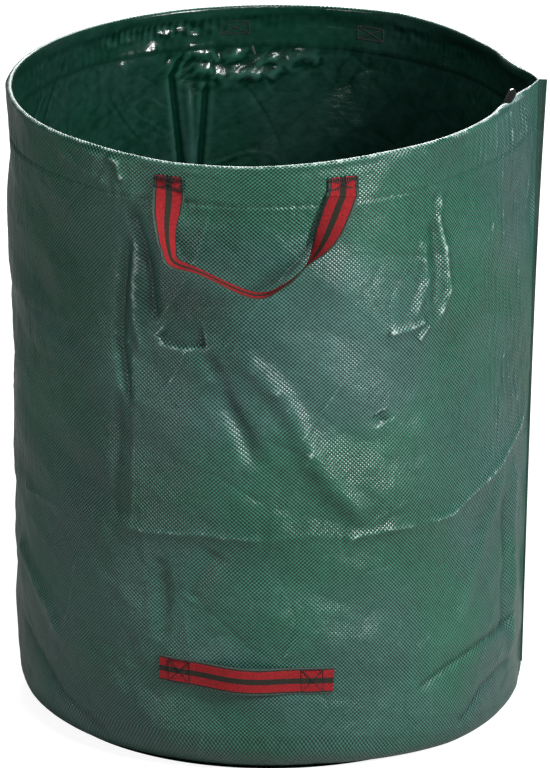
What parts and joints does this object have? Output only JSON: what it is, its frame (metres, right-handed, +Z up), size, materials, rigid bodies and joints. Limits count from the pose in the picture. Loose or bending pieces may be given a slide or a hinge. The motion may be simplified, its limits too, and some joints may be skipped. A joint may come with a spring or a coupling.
{
  "type": "garden waste bag",
  "caption": "Round open-topped garden waste bag of woven plastic sheet, with a hoop in its hem, webbing carrying handles and a tipping handle near the foot.",
  "frame": {"origin": "middle of the base's underside, on the floor", "axes": "+Z up, -Y towards the front handle, +X towards the side seam"},
  "size_m": [0.6663, 0.8062, 0.8009],
  "materials": {
    "green_sheet": "glossy laminated weave",
    "base_sheet": "glossy laminated weave",
    "hoop_plastic": "satin",
    "cap_plastic": "gloss",
    "webbing": "matte striped weave",
    "green_thread": "matte",
    "dark_thread": "matte"
  },
  "bodies": {
    "bag": {"side_wall": "green_sheet", "base_panel": "base_sheet", "base_seam_stitches": "green_thread", "side_seam_stitches": "green_thread", "lower_handle": "webbing", "lower_left_box_stitches": "dark_thread", "lower_right_box_stitches": "dark_thread"},
    "rim": {"rim_hem": "green_sheet", "rim_hoop": "hoop_plastic", "hoop_cap_front": "cap_plastic", "hoop_cap_back": "cap_plastic", "hem_stitches": "green_thread", "rim_seam_stitches": "green_thread", "front_handle_left_end": "webbing", "front_handle_right_end": "webbing", "front_left_box_stitches": "dark_thread", "front_right_box_stitches": "dark_thread", "back_handle_left_end": "webbing", "back_handle_right_end": "webbing", "back_left_box_stitches": "dark_thread", "back_right_box_stitches": "dark_thread"},
    "front_handle": {"front_handle": "webbing"},
    "back_handle": {"back_handle": "webbing"}
  },
  "joints": [
    {"name": "collapse", "type": "slide", "parent": "bag", "child": "rim", "axis": [0, 0, 1], "range_m": [-0.6, 0], "deforming": ["side_wall", "side_seam_stitches"]},
    {"name": "front_handle_swing", "type": "hinge", "parent": "rim", "child": "front_handle", "pos_m": [-0.00899, -0.33993, 0.757], "axis": [-1, 0, 0], "range_deg": [-5, 150]},
    {"name": "back_handle_swing", "type": "hinge", "parent": "rim", "child": "back_handle", "pos_m": [0.01508, 0.34416, 0.757], "axis": [0.9976, -0.0698, 0], "range_deg": [-5, 150]}
  ]
}
